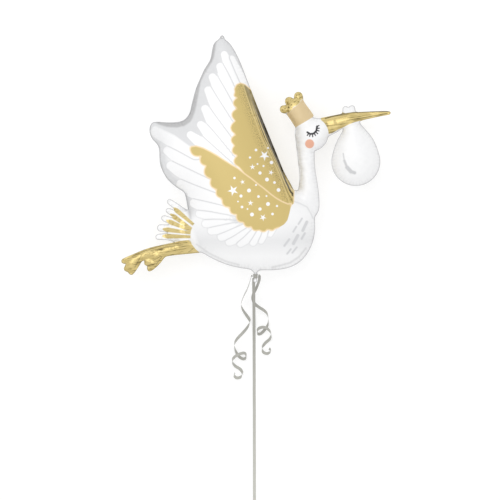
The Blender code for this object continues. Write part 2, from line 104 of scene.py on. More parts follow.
RIGHT_CURL = [
    (142.0, -35.4, 0.0240, 20), (146.0, -39.2, 0.0240, 60), (147.6, -44.5, 0.0200, 90),
    (147.2, -50.5, 0.0120, 120), (144.4, -55.6, 0.0050, 160), (140.0, -60.0, 0.0035, 200),
    (136.6, -59.8, 0.0110, 260), (137.0, -55.4, 0.0220, 310), (141.6, -53.2, 0.0290, 350),
    (147.0, -55.0, 0.0280, 400), (150.4, -60.0, 0.0200, 450), (149.2, -65.2, 0.0110, 500),
    (144.6, -69.6, 0.0040, 550), (141.4, -74.2, 0.0090, 620), (142.4, -78.6, 0.0180, 690),
    (146.6, -80.0, 0.0240, 750), (150.0, -77.6, 0.0210, 810), (148.6, -74.8, 0.0130, 860),
]


def place(x, y, z=0.0):
    """The point in the frame of a point on the squared paper."""
    return Vector(
        (KNOT_CENTRE.x + (x - KNOT_PLACE[0]) * SQUARE, KNOT_CENTRE.y + (y - KNOT_PLACE[1]) * SQUARE, z)
    )


def smooth_path(points, steps=8):
    """Points of a smooth curve through the given points."""
    given = np.array(points, float)
    around = np.vstack([2 * given[0] - given[1], given, 2 * given[-1] - given[-2]])
    run = []
    for before, start, end, after in zip(around, around[1:], around[2:], around[3:]):
        t = np.arange(steps)[:, None] / steps
        run.append(
            start
            + 0.5 * t * (end - before)
            + t**2 * (before - 2.5 * start + 2 * end - 0.5 * after)
            + t**3 * (1.5 * (start - end) + 0.5 * (after - before))
        )
    return np.vstack([*run, given[-1:]])


def link(obj):
    bpy.context.scene.collection.objects.link(obj)
    return obj


# Materials.


class Paint:
    """A node material being put together: each method adds nodes and gives their output."""

    def __init__(self, name):
        self.material = bpy.data.materials.new(name)
        self.material.use_nodes = True
        self.nodes = self.material.node_tree.nodes
        self.shader = self.nodes["Principled BSDF"]

    def put(self, value, socket):
        """Sets a socket to a constant, or links it to another node's output."""
        if isinstance(value, bpy.types.NodeSocket):
            self.material.node_tree.links.new(value, socket)
        else:
            socket.default_value = value

    def surface(self, **inputs):
        """Sets inputs of the Principled shader: Base_Color stands for its Base Color."""
        for name, value in inputs.items():
            self.put(value, self.shader.inputs[name.replace("_", " ")])

    def maths(self, operation, *values, clamp=False):
        node = self.nodes.new("ShaderNodeMath")
        node.operation = operation
        node.use_clamp = clamp
        for value, socket in zip(values, node.inputs):
            self.put(value, socket)
        return node.outputs[0]

    def plus(self, first, second):
        return self.maths("ADD", first, second)

    def minus(self, first, second):
        return self.maths("SUBTRACT", first, second)

    def times(self, first, second):
        return self.maths("MULTIPLY", first, second)

    def over(self, first, second, clamp=False):
        return self.maths("DIVIDE", first, second, clamp=clamp)

    def hypotenuse(self, first, second):
        return self.maths("SQRT", self.plus(self.times(first, first), self.times(second, second)))

    def mix(self, factor, first, second):
        """One colour by a factor of 0, the other by a factor of 1."""
        node = self.nodes.new("ShaderNodeMix")
        node.data_type = "RGBA"
        self.put(factor, node.inputs["Factor"])
        self.put(first, node.inputs[6])
        self.put(second, node.inputs[7])
        return node.outputs[2]

    def blend(self, factor, first, second):
        """One number by a factor of 0, the other by a factor of 1."""
        node = self.nodes.new("ShaderNodeMix")
        self.put(factor, node.inputs[0])
        self.put(first, node.inputs[2])
        self.put(second, node.inputs[3])
        return node.outputs[0]

    def ramp(self, value, stops):
        node = self.nodes.new("ShaderNodeValToRGB")
        elements = node.color_ramp.elements
        while len(elements) < len(stops):
            elements.new(0.5)
        for element, (position, tint) in zip(elements, stops):
            element.position, element.color = position, tint
        self.put(value, node.inputs[0])
        return node.outputs[0]

    def split(self, vector):
        node = self.nodes.new("ShaderNodeSeparateXYZ")
        self.put(vector, node.inputs[0])
        return node.outputs

    def object_place(self):
        return self.nodes.new("ShaderNodeTexCoord").outputs["Object"]

    def attribute(self, name):
        node = self.nodes.new("ShaderNodeAttribute")
        node.attribute_name = name
        return node.outputs["Fac"]

    def noise(self, scale, detail, vector=None, roughness=0.5):
        node = self.nodes.new("ShaderNodeTexNoise")
        node.inputs["Scale"].default_value = scale
        node.inputs["Detail"].default_value = detail
        node.inputs["Roughness"].default_value = roughness
        self.put(vector or self.object_place(), node.inputs["Vector"])
        return node.outputs["Fac"]

    def bump(self, height, strength, distance):
        node = self.nodes.new("ShaderNodeBump")
        self.put(height, node.inputs["Height"])
        self.put(strength, node.inputs["Strength"])
        self.put(distance, node.inputs["Distance"])
        self.surface(Normal=node.outputs["Normal"])


RIBBON_RIBS = 14
RIB_HEIGHT = 0.0001
RIBBON_GREY_AT_KNOT = (0.345, 0.34, 0.31, 1)
RIBBON_GREYS = ((0.50, 0.50, 0.45, 1), (0.60, 0.60, 0.55, 1))
RIBBON_GREYS_REACHED = 0.75  # metres down the ribbon from the knot


def ribbon_material():
    """Satin curling ribbon: fine ribs along it, a soft sheen, and a darker tone near the knot."""
    p = Paint("curling_ribbon")
    across = p.split(p.nodes.new("ShaderNodeUVMap").outputs["UV"])["Y"]
    ribs = p.maths("SINE", p.times(across, 2 * math.pi * RIBBON_RIBS))
    below_knot = p.minus(KNOT_CENTRE.y, p.split(p.object_place())["Y"])
    greys = p.mix(p.noise(60.0, 3.0), *RIBBON_GREYS)
    colour = p.mix(p.over(below_knot, RIBBON_GREYS_REACHED, clamp=True), RIBBON_GREY_AT_KNOT, greys)
    p.surface(Base_Color=colour, Roughness=0.38, Sheen_Weight=0.25, Coat_Weight=0.2)
    p.bump(ribs, 0.25, RIB_HEIGHT)
    return p.material


# Ribbons.

RIBBON_EDGE_SHARE = 0.02  # how much of the ribs' pattern shows on the ribbon's thin edges
RIBBON_LEAN = 0.12  # the long ribbon's face leans to and fro by this much
RIBBON_LEAN_STEP = 0.13
KNOT_STEPS = 28  # rows of ribbon for each turn of a knot
KNOT_SWELL = 0.12
KNOT_COVER = 0.8  # the ribbon's width in a knot, as a share of the knot's length


def flat_band(name, path, faces, width, material):
    """A thin flat ribbon along the path: faces is the way that its printed side looks at each point."""
    path = [Vector(p) for p in path]
    bm = bmesh.new()
    uv = bm.loops.layers.uv.new("UVMap")
    rows, run = [], 0.0
    for i, (middle, face) in enumerate(zip(path, faces)):
        along = (path[min(i + 1, len(path) - 1)] - path[max(i - 1, 0)]).normalized()
        side = along.cross(Vector(face)).normalized() * width / 2
        up = side.cross(along).normalized() * RIBBON_THICKNESS / 2
        if i:
            run += (middle - path[i - 1]).length
        corners = [middle - side + up, middle + side + up, middle + side - up, middle - side - up]
        rows.append(([bm.verts.new(c) for c in corners], run))
    for (row, start), (after, end) in zip(rows, rows[1:]):
        for k in range(4):
            face = bm.faces.new((row[k], row[(k + 1) % 4], after[(k + 1) % 4], after[k]))
            across = (0, 1) if k % 2 == 0 else (0, RIBBON_EDGE_SHARE)
            places = [(start, across[0]), (start, across[1]), (end, across[1]), (end, across[0])]
            for loop, spot in zip(face.loops, places):
                loop[uv].uv = spot
    bm.faces.new(rows[0][0][::-1])
    bm.faces.new(rows[-1][0])
    bmesh.ops.recalc_face_normals(bm, faces=bm.faces)
    mesh = bpy.data.meshes.new(name)
    bm.to_mesh(mesh)
    bm.free()
    mesh.shade_smooth()
    mesh.set_sharp_from_angle(angle=math.radians(40))
    mesh.materials.append(material)
    band = link(bpy.data.objects.new(name, mesh))
    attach(band, "root")
    return band


def long_ribbon(material):
    path = smooth_path([place(x, y, z) for x, y, z in LONG_RIBBON], steps=10)
    path[:, 2] = np.maximum(path[:, 2], 0.5 * RIBBON_GAUGE)
    faces = []
    for i in range(len(path)):
        along = Vector(path[min(i + 1, len(path) - 1)] - path[max(i - 1, 0)]).normalized()
        lean = RIBBON_LEAN * math.sin(i * RIBBON_LEAN_STEP)
        faces.append(Vector((lean, along.z, -along.y)))
    band = flat_band("long_ribbon_band", path, faces, RIBBON_WIDTH, material)
    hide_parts("long_ribbon")
    return band, path


def curled_ribbon(node, strand, curl, material):
    """One curled end: a plain strand from the knot, then turns that lie on the floor."""
    first_face = curl[0][3]
    route = [(*place(x, y, z), first_face) for x, y, z in strand]
    route += [(*place(x, y, z), face) for x, y, z, face in curl]
    smooth = smooth_path(route, steps=9)
    turns = np.radians(smooth[:, 3])
    faces = [Vector((math.sin(t), 0, math.cos(t))) for t in turns]
    path = smooth[:, :3]
    band = flat_band(node + "_band", path, faces, RIBBON_WIDTH, material)
    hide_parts(node)
    return band, path


def hand_loop(material):
    path = smooth_path([place(x, y, 0.5 * RIBBON_WIDTH) for x, y in HAND_LOOP], steps=8)
    centre = place(*HAND_LOOP_MIDDLE)
    faces = [Vector((x - centre.x, y - centre.y, 0)) for x, y, _ in path]
    band = flat_band("hand_loop_band", path, faces, RIBBON_WIDTH, material)
    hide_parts("hand_loop")
    return band, path


def knot_turns(name, node, material, centre, wide, thick, length, turns):
    """A knot of ribbon wound round and round, swelling and narrowing a little along its length."""
    path, faces = [], []
    count = turns * KNOT_STEPS
    for i in range(count + 1):
        share = i / count
        turn = 2 * math.pi * turns * share
        swell = 1 + KNOT_SWELL * math.sin(5 * turn / turns + 1)
        out = Vector((math.cos(turn), 0, math.sin(turn)))
        step = Vector((wide * out.x * swell, length * (share - 0.5), thick * out.z * swell))
        path.append(centre + step)
        faces.append(Vector((out.x * thick, 0, out.z * wide)))
    band = flat_band(name, path, faces, length * KNOT_COVER, material)
    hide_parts(node)
    return band


def ribbons():
    material = ribbon_material()
    low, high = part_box("tail_knot")
    knot_turns(
        "tail_knot_wraps", "tail_knot", material, centre=KNOT_CENTRE, wide=(high.x - low.x) / 2 - 0.002,
        thick=0.0036, length=0.009, turns=3,
    )
    low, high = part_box("end_knot")
    end = knot_turns(
        "end_knot_wraps", "end_knot", material, centre=(low + high) / 2, wide=0.0036,
        thick=0.0030, length=0.006, turns=2,
    )
    band, path = long_ribbon(material)
    band, path = hand_loop(material)
    for node, strand, curl in (
        ("left_curl", LEFT_STRAND, LEFT_CURL),
        ("right_curl", RIGHT_STRAND, RIGHT_CURL),
    ):
        band, path = curled_ribbon(node, strand, curl, material)


# The drawing, in squares.

# Feathers are brush strokes: points of a spine, each with the stroke's half width there.
FAR_FEATHERS = [
    [(110.8, 216.5, 3.4), (117, 203, 4.6), (129, 180, 6.0)],
    [(103.4, 220.5, 3.8), (109.5, 205, 5.4), (122, 176, 6.0)],
    [(99.2, 208.5, 4.2), (106, 195, 6.6), (122, 162, 7.0)],
    [(91.5, 197.8, 4.2), (101, 181, 6.6), (121, 148, 7.0)],
    [(87.2, 184.8, 4.2), (97, 167, 6.6), (119, 134, 7.0)],
    [(84, 166.2, 4.2), (95, 149, 6.8), (121, 116, 8.0)],
    [(79.8, 150.2, 4.2), (92, 137.5, 6.6), (120, 107, 6.0)],
    [(69.5, 140, 4.2), (84, 129, 6.2), (112, 108, 6.0)],
]
NEAR_FEATHERS = [
    [(36, 143.2, 6.5), (51, 134.5, 7.0), (73, 120, 7.0)],
    [(46.5, 124.3, 4.5), (60, 116.5, 7.0), (95, 99.5, 8.0)],
    [(50, 109.3, 4.9), (64, 101.5, 7.0), (98, 86, 7.0)],
    [(60, 90.8, 5.0), (72, 84, 7.2), (104, 74, 7.0)],
    [(73, 71.8, 4.6), (85, 68.5, 6.2), (115, 62.5, 6.0)],
    [(78.3, 61.3, 4.0), (90, 60, 5.4), (120, 54.5, 5.0)],
    [(84.5, 51.3, 4.0), (97, 53, 5.2), (120, 55, 5.0)],
    [(90.3, 44, 4.0), (102, 47, 5.2), (122, 54, 4.0)],
    [(100.2, 37.8, 4.0), (111, 42, 5.0), (129, 51, 4.0)],
    [(108.3, 32.8, 4.0), (117, 38, 5.0), (132, 50, 4.0)],
    [(119.5, 31.5, 4.0), (127, 37.5, 4.6), (137, 50, 4.0)],
    [(132, 32.3, 3.6), (136, 39, 4.2), (141, 50, 4.0)],
    [(140, 34, 3.2), (142.5, 39.5, 3.6), (145, 50, 4.0)],
    [(149.2, 40.3, 2.6), (152.5, 47, 3.4)],
]

# Everything nearer than the far wing: the near wing and the body.
NEAR_SIDE = [
    (20, 152), (31, 151), (39, 147), (54, 140), (69, 129), (75, 129), (82, 127), (89, 123.5), (96, 119.5),
    (103, 115), (110, 110.5), (117, 106.5), (124, 101), (131, 96), (137, 91), (143, 86.5), (149, 81.5),
    (155, 77), (161, 73.5), (167, 71), (172, 70.5), (176, 78), (176, 90), (215, 90), (215, -20), (20, -20),
]
FAR_COVERT_NOTCHES = [
    (114, 182.5), (116.2, 177.4), (116.6, 166.5), (114.5, 154), (115, 140.5), (113.5, 129.5),
    (116.5, 119.5), (118, 108),
]
NEAR_COVERT_NOTCHES = [
    (69, 128.2), (80, 119), (85, 109.2), (90, 96), (95.7, 85.9), (101.3, 76.5), (108.8, 67.7),
    (115.5, 60.5), (122.5, 52.7), (130.2, 48.5), (138, 45.3), (147, 46.5), (154, 46.3),
]
NEAR_COVERT_FRONT = [(159, 48), (163.5, 51), (166.5, 55), (168.5, 62), (169.5, 67), (171, 72)]
NEAR_COVERT_TOP = [
    (167, 71), (161, 73.5), (155, 77), (149, 81.5), (143, 86.5), (137, 91), (131, 96), (124, 101),
    (117, 106.5), (110, 110.5), (103, 115), (96, 119.5), (89, 123.5), (82, 127), (75, 129),
]
# The far wing's dark grey rim: unprinted foil, with painted shade of the side wall that curves down to the
# seam.
DARK_RIM = [
    (95.2, 232.5), (94, 225), (93, 218), (91, 213), (87, 207), (83, 200), (80, 194), (78.5, 187),
    (77, 179), (75.5, 171), (74, 164), (71.5, 157), (69, 153), (64, 149.5), (56, 147.5), (46, 148),
    (38, 150.5), (33, 153.5), (30, 160), (60, 162), (62, 175), (66, 195), (80, 220), (84, 234),
    (92, 240), (98, 239),
]
# The far wing's front, where the gold has painted reflections in bands.
SHINY_FACETS = [
    (122.5, 189), (126, 178), (131, 163), (136, 149), (141, 135), (147.5, 122), (154, 110), (158.5, 100),
    (162, 90), (166, 80), (169, 71), (175, 70), (190, 90), (170, 140), (150, 180), (134, 206), (126, 200),
]
CROWN_BAND = [
    (174.4, 147.5), (165.2, 161.5), (168.5, 163.6), (171.5, 166.8), (175.5, 169), (178.3, 172.3),
    (181.5, 176), (193.8, 159),
]
CROWN_TOP = [
    (150, 156), (163, 159.5), (165.3, 162.4), (168, 162.6), (171, 165.3), (172.2, 168.0), (175.5, 169.4),
    (178.2, 171.4), (179.6, 174.4), (181.2, 176.2), (187, 176), (187, 190), (150, 190),
]
BEAK_AREA = [
    (200, 136), (207.5, 141), (212, 142.2), (217, 145.3), (222, 147.5), (227, 150.2), (233, 152.6),
    (239, 154.2), (246, 153), (256, 154), (275, 158), (275, 168), (245, 168), (238, 163.4), (231, 162.7),
    (224, 161.7), (217, 165), (200, 163),
]
HEAD = [(190.7, 140.7, 16.9)]
LEG = [
    (80, 28.2, 7.4), (64, 27.7, 7.0), (54, 26.3, 6.6), (46, 24.8, 7.2), (40, 22, 9.5), (34, 20, 13),
    (18, 16, 15), (4, 12, 12),
]
BODY_OVER_LEG = [(69, 35), (71, 30.5), (74.5, 26), (79, 22), (84, 10), (130, 10), (130, 60), (69, 60)]
TAIL_PETALS = [
    [(52.3, 67.3), (72.5, 50.4)], [(49.1, 61.1), (70.5, 46)], [(45.1, 54.8), (70, 44.3)],
    [(41.5, 46.0), (69.6, 42.0)], [(41.2, 39.0), (69.5, 38.2)],
]
BEAK_TOP_LINE = [
    (204.5, 156.7), (210, 158.3), (217, 160.0), (224, 161.5), (231, 162.6), (244, 163.1), (256, 163.5),
    (267, 163.6),
]
BEAK_TIP_LINE = [(236, 156.2), (244, 157.6), (254, 159.3), (266, 161.3)]
LEG_LINES = [
    [(11, 18.4), (24, 24.2), (42.3, 29.8), (57, 31.8)], [(26.6, 22.1), (40, 25.5)],
    [(30, 24.3), (46, 28.0), (62, 30.2)], [(32.2, 14.8), (36, 16.4), (39.5, 19)],
    [(35.2, 10.5), (41, 18.5)], [(67.5, 23.0), (71.5, 25.8)], [(13.9, 7.8), (20.4, 19.8)],
]
# Short marks: where each starts and ends, and its half width.
BREAST_MARKS = [
    [(177.5, 51), (181, 56.5), 0.9], [(181.8, 44.5), (185.8, 53), 1.5],
    [(172.2, 43.2), (175.3, 48.3), 0.9], [(180.7, 36.3), (183.8, 41.7), 1.1],
    [(172.4, 31.5), (176.8, 39.5), 1.6], [(163.4, 29.3), (168.2, 35.6), 1.1],
    [(166.2, 21.3), (169.8, 25.8), 0.9], [(171.3, 22.3), (175.8, 27.7), 0.9],
]
# Painted soft shade beside the seam, in strokes: points and half width.
SEAM_SHADES = [
    ([(40.3, 112), (42.6, 102), (47.3, 94.8), (54, 88.6), (60.5, 84.6)], 0.7),
    ([(65.2, 80.5), (66.6, 74), (68.4, 64), (69.6, 57)], 1.1),
    ([(75.5, 30.6), (88.5, 21.5), (105, 13.6), (118, 10.2)], 0.6),
    ([(151, 7.6), (161, 10.0), (169, 12.2), (178, 18.3), (185, 26.9)], 0.8),
]
NECK_LINE = [(172, 74), (179, 71.5), (186, 68), (189, 63), (192, 57)]
BUNDLE_FOLD = [
    [(222.2, 121.5), (223.3, 114.5), 0.6], [(223.3, 114.5), (226, 107.8), 1.2],
    [(226, 107.8), (230, 103.4), 1.9], [(230, 103.4), (233.6, 102.2), 1.6],
]
EYELID = [(186.3, 142.8), (189, 141.0), (192.6, 141.4), (195.3, 144.1), (196.1, 148.6)]
LASH_TIPS = [
    (186.3, 139.6), (188.6, 138.7), (191.7, 138.3), (194.4, 139.6), (196.6, 141.4), (197.9, 144.1),
    (198.2, 146.8), (197.9, 149.4),
]
LASH_CENTRE = (191.0, 146.3)
LASH_ROOT_RADIUS = 5.0
CHEEK = (188.6, 131.2, 4.5)  # x, y and radius

# The scatter over the gold: stars as x, y, radius and turn, dots as x, y and radius.
STARS = [
    (143.5, 119.5, 5.2, 0.3), (131.5, 108.0, 2.8, 0.9), (150.0, 102.5, 2.6, 0.1),
    (112.0, 84.5, 5.4, 0.5), (129.5, 72.0, 2.8, 1.0), (142.0, 57.5, 3.4, 0.2), (121.5, 93.0, 2.4, 0.7),
]
DOTS = [
    (135.0, 125.0, 1.3), (150.5, 112.5, 1.7), (139.0, 102.0, 1.6), (146.0, 95.5, 1.9), (129.0, 117.5, 1.1),
    (153.5, 92.5, 1.3), (157.5, 85.0, 1.8), (136.5, 111.0, 0.9), (147.0, 127.0, 1.0), (142.5, 109.0, 1.0),
    (120.0, 79.0, 1.5), (128.0, 84.5, 1.9), (137.5, 78.5, 1.3), (147.0, 71.0, 1.9), (139.0, 66.0, 1.6),
    (121.0, 68.0, 1.3), (131.0, 60.5, 1.9), (151.5, 61.0, 1.3), (113.5, 97.0, 1.2), (135.0, 90.0, 0.9),
    (126.5, 66.0, 0.8), (145.5, 79.0, 0.9), (156.0, 69.0, 1.1), (117.0, 73.5, 0.8),
]


def stroke_distance(places, stroke):
    """Signed distance from each place to a brush stroke, negative inside it."""
    nearest = np.full(len(places), 1e3)
    line = smooth_path(stroke, steps=10) if len(stroke) > 2 else np.linspace(stroke[0], stroke[-1], 12)
    for x, y, radius in line:
        nearest = np.minimum(nearest, np.hypot(places[:, 0] - x, places[:, 1] - y) - radius)
    return nearest


def area_distance(places, corners):
    """Signed distance from each place to a closed line, negative inside it."""
    corners = np.array(corners, float)
    nearest = np.full(len(places), 1e3)
    inside = np.zeros(len(places), bool)
    for start, end in zip(corners, np.roll(corners, -1, axis=0)):
        side, offset = end - start, places - start
        share = np.clip(offset @ side / max(side @ side, 1e-12), 0, 1)
        nearest = np.minimum(nearest, np.hypot(*(offset - share[:, None] * side).T))
        if start[1] != end[1]:
            crosses = (start[1] > places[:, 1]) != (end[1] > places[:, 1])
            reach = side[0] * (places[:, 1] - start[1]) / side[1] + start[0]
            inside ^= crosses & (places[:, 0] < reach)
    return np.where(inside, -nearest, nearest)


FAR_SCALLOP_BULGE = 0.38
NEAR_SCALLOP_BULGE = 0.30


def scalloped_line(notches, bulge, steps=6):
    """Round scallops from notch to notch, bulging to the right of the way they run."""
    points = []
    for start, end in zip(notches, notches[1:]):
        start, end = np.array(start, float), np.array(end, float)
        chord = end - start
        out = np.array([chord[1], -chord[0]])
        for k in range(steps):
            share = k / steps
            points.append(start + chord * share + out * bulge * math.sin(math.pi * share) ** 0.8)
    return [*points, np.array(notches[-1], float)]


def far_covert():
    """The gold area of the far wing as a closed line: its scallops, upper end and straight front."""
    scallops = scalloped_line(FAR_COVERT_NOTCHES, FAR_SCALLOP_BULGE)[::-1]
    lobe = [(113.4, 186), (115.5, 190.3), (119.5, 192.1), (124, 190.5), (128, 187)]
    front = [(136, 181), (152, 143), (162.5, 117), (171, 95), (173, 84), (172.6, 70), (150, 70)]
    return [*scallops, *lobe, *front]


def near_covert():
    """The gold area of the near wing as a closed line."""
    scallops = scalloped_line(NEAR_COVERT_NOTCHES, NEAR_SCALLOP_BULGE)
    return [*scallops, *NEAR_COVERT_FRONT, *NEAR_COVERT_TOP]


def drawing_distances(places):
    """Each place's distance to the areas too many-sided for the shader: print, painted shade and painted
    reflections.
    """

    def joined(strokes):
        return np.min([stroke_distance(places, s) for s in strokes], axis=0)

    leg = np.maximum(stroke_distance(places, LEG), -area_distance(places, BODY_OVER_LEG))
    beak = np.maximum(area_distance(places, BEAK_AREA), -stroke_distance(places, HEAD))
    crown = area_distance(places, CROWN_TOP)
    band = np.maximum(area_distance(places, CROWN_BAND), -crown)
    far_odd, far_even = joined(FAR_FEATHERS[0::2]), joined(FAR_FEATHERS[1::2])
    near_odd, near_even = joined(NEAR_FEATHERS[0::2]), joined(NEAR_FEATHERS[1::2])
    return {
        "near_side": area_distance(places, NEAR_SIDE),
        "far_gold": area_distance(places, far_covert()),
        "near_gold": area_distance(places, near_covert()),
        "far_feathers": np.minimum(far_odd, far_even),
        "far_parting": (far_odd - far_even) / 2,
        "near_feathers": np.minimum(near_odd, near_even),
        "near_parting": (near_odd - near_even) / 2,
        "dark_rim": area_distance(places, DARK_RIM),
        "facets": area_distance(places, SHINY_FACETS),
        "shiny": np.minimum(np.minimum(leg, beak), crown),
        "crown_band": band,
    }


# The balloon.

SEAM_THICKNESS = 0.0010
WALL_REACH = 0.0008  # how far from the seam's level the outline's upright wall can reach
WALL_SLOPE = 0.35  # of its faces' normals: 0 is quite upright
MERGE_DISTANCE = 2e-5
FINE_MERGE_DISTANCE = 1e-6
CAMERA_LENS, CAMERA_FILM = 135, 36  # millimetres
EYE_HEIGHT = PICTURE_SIDE * CAMERA_LENS / CAMERA_FILM  # of the picture's eye over the seam

# Creases that the seam pinches into the foil, in metres.
SEAM_WIDTH = 0.0040
PUCKER_SPACING = 0.021
PUCKER_REACH = 0.017
PUCKER_DEPTH = 0.30  # as a share of the foil's height over the seam
FINE_SPACING, FINE_REACH, FINE_SHARE = 0.43, 0.5, 0.7  # of the coarse creases' own
STRENGTH_MEAN, STRENGTH_SWING, STRENGTH_WAVE = 0.65, 0.35, 0.067  # deeper here, shallower there
UNDERSIDE_SHIFT = 3.7  # so that the underside's creases aren't the upper side's
RUFFLES = ((0.0009, 0.013, 0), (0.0006, 0.0047, 1))  # the seam's height, length and start
RUFFLE_REACH = 0.006
CALM_FROM, CALM_RUN = (166, 60), (12, 25)  # in squares: the neck and all beyond it
CALM = 0.8


def is_wall(face):
    """Whether this face of the foil's mesh is part of the narrow upright wall all round its outline."""
    near_seam = all(abs(v.co.z - SEAM_LEVEL) < WALL_REACH for v in face.verts)
    return near_seam and abs(face.normal.z) < WALL_SLOPE


def outline_edges(bm):
    """The sharp edges of the outline: the upright wall lies on one side of each."""
    bm.normal_update()
    walls = {face for face in bm.faces if is_wall(face)}
    return {edge for edge in bm.edges if sum(face in walls for face in edge.link_faces) == 1}


def smooth_foil(node):
    """A finer, rounder copy of the solid: its outline stays sharp."""
    bm = bmesh.new()
    bm.from_mesh(node.data)
    bmesh.ops.remove_doubles(bm, verts=bm.verts, dist=MERGE_DISTANCE)
    crease = bm.edges.layers.float.new("crease_edge")
    for edge in outline_edges(bm):
        edge[crease] = 1
    mesh = bpy.data.meshes.new("printed_foil")
    bm.to_mesh(mesh)
    bm.free()
    foil = link(bpy.data.objects.new("printed_foil", mesh))
    foil.modifiers.new("rounder", "SUBSURF").levels = 2
    bpy.context.view_layer.update()
    graph = bpy.context.evaluated_depsgraph_get()
    fine = bpy.data.meshes.new_from_object(foil.evaluated_get(graph))
    foil.modifiers.clear()
    foil.data = fine
    return foil


def rim_reader(mesh):
    """A lookup of the nearest place on the outline, and each such place's distance along it."""
    bm = bmesh.new()
    bm.from_mesh(mesh)
    bmesh.ops.remove_doubles(bm, verts=bm.verts, dist=FINE_MERGE_DISTANCE)
    rim = outline_edges(bm)
    spots, along, run, seen = [], [], 0.0, set()
    for first in sorted(rim, key=lambda e: e.index):
        vertex = first.verts[0]
        while vertex not in seen:
            seen.add(vertex)
            spots.append(vertex.co.copy())
            along.append(run)
            onward = [e for e in vertex.link_edges if e in rim and e.other_vert(vertex) not in seen]
            if onward:
                ahead = onward[0].other_vert(vertex)
                spots.append((vertex.co + ahead.co) / 2)
                along.append(run + onward[0].calc_length() / 2)
                run += onward[0].calc_length()
                vertex = ahead
    bm.free()
    tree = KDTree(len(spots))
    for i, spot in enumerate(spots):
        tree.insert(spot, i)
    tree.balance()
    return tree, along


def rim_distances(mesh, points):
    """Each point's distance from the outline of its own sheet, and its place along that outline."""
    tree, lengths = rim_reader(mesh)
    sheet_side = np.sign(points[:, 2] - SEAM_LEVEL)
    rim_level = SEAM_LEVEL + sheet_side * SEAM_THICKNESS / 2
    found = [tree.find(place) for place in np.column_stack([points[:, :2], rim_level])]
    return np.array([f[2] for f in found]), np.array([lengths[f[1]] for f in found])


def wave(s, spacing, seed):
    """A wandering wave along the seam, from 0 to 1, with narrow troughs at 1."""
    drift = 0.9 * np.sin(s / spacing * 0.73 + seed) + 0.6 * np.sin(s / spacing * 0.31 + 2.1 * seed)
    swing = np.abs(np.sin(math.pi * s / spacing + drift))
    return (1 - swing) ** 1.6


def pucker(points, squares, away, along):
    """Pinches the foil into creases that run in from the seam, less so on the neck and beyond it."""
    rise = points[:, 2] - SEAM_LEVEL
    side = np.where(rise > 0, 0.0, UNDERSIDE_SHIFT)
    inside = np.clip((away - SEAM_WIDTH) / SEAM_WIDTH, 0, 1)
    calm = CALM * np.clip((squares - CALM_FROM) / CALM_RUN, 0, 1).prod(axis=1)
    strength = STRENGTH_MEAN + STRENGTH_SWING * np.sin(along / STRENGTH_WAVE + side)
    strength *= 1 - calm
    coarse = wave(along, PUCKER_SPACING, 1.3 + side) * np.exp(-away / PUCKER_REACH)
    fine = wave(along, PUCKER_SPACING * FINE_SPACING, 4.1 + side)
    fine *= FINE_SHARE * np.exp(-away / (FINE_REACH * PUCKER_REACH))
    points[:, 2] -= rise * inside * strength * PUCKER_DEPTH * (coarse + fine)
    ruffle = sum(height * np.sin(along / length + start) for height, length, start in RUFFLES)
    points[:, 2] += ruffle * (1 - calm) * np.exp(-away / RUFFLE_REACH)
    return points


def seen_squares(points):
    """The square that each point covers in the picture, as foil that bulges looks larger from above."""
    squares = (points[:, :2] - (KNOT_CENTRE.x, KNOT_CENTRE.y)) / SQUARE + KNOT_PLACE
    nearer = EYE_HEIGHT / (EYE_HEIGHT - np.abs(points[:, 2] - SEAM_LEVEL))
    return (squares - PICTURE_MIDDLE) * nearer[:, None] + PICTURE_MIDDLE


def printed_foil():
    foil = smooth_foil(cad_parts["foil_balloon"])
    mesh = foil.data
    points = np.empty(len(mesh.vertices) * 3)
    mesh.vertices.foreach_get("co", points)
    points = points.reshape(-1, 3)
    away, along = rim_distances(mesh, points)
    squares = seen_squares(points)

    distances = drawing_distances(squares) | {"from_rim": away / SQUARE, "along_rim": along / SQUARE}
    for name, values in distances.items():
        layer = mesh.attributes.new(name, "FLOAT", "POINT")
        layer.data.foreach_set("value", values.astype(np.float32))
    sheet = mesh.uv_layers.new(name="sheet")
    corner = np.empty(len(mesh.loops), np.int32)
    mesh.loops.foreach_get("vertex_index", corner)
    sheet.data.foreach_set("uv", (squares[corner] / GRID_SQUARES).ravel().astype(np.float32))

    points = pucker(points, squares, away, along)
    mesh.vertices.foreach_set("co", points.ravel())
    mesh.shade_smooth()
    mesh.materials.clear()
    mesh.materials.append(foil_material())
    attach(foil, "root")
    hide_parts("foil_balloon")


# The foil's printed material.

WHITE_INK = (0.93, 0.93, 0.94, 1)
PEARL_WHITES = ((0.90, 0.90, 0.905, 1), (0.935, 0.935, 0.94, 1))
SATIN_GOLD = (0.625, 0.485, 0.183, 1)
CREAM_INK = (0.90, 0.70, 0.42, 1)
CROWN_TAN = (0.68, 0.53, 0.30, 1)
# Besides print, RIM_GREY paints shade beside the seam and on the far wing's rim, MARGIN_GREY shade over
# the belly and the near wing's tip, and LINE_GREY shade in the creases by the seam.
RIM_GREY = (0.47, 0.47, 0.475, 1)
MARGIN_GREY = (0.70, 0.705, 0.715, 1)
LINE_GREY = (0.57, 0.575, 0.59, 1)
SHINE_BRIGHT = (0.74, 0.60, 0.27, 1)
SHINE_SATIN = (0.66, 0.52, 0.205, 1)
SHINE_MIDDLE_SATIN = (0.30, 0.24, 0.10, 1)
SHINE_MIDDLE = (0.27, 0.205, 0.075, 1)
SHINE_DARK = (0.05, 0.037, 0.012, 1)
CHEEK_PEACH = (0.78, 0.41, 0.285, 1)
EYE_INK = (0.015, 0.015, 0.02, 1)

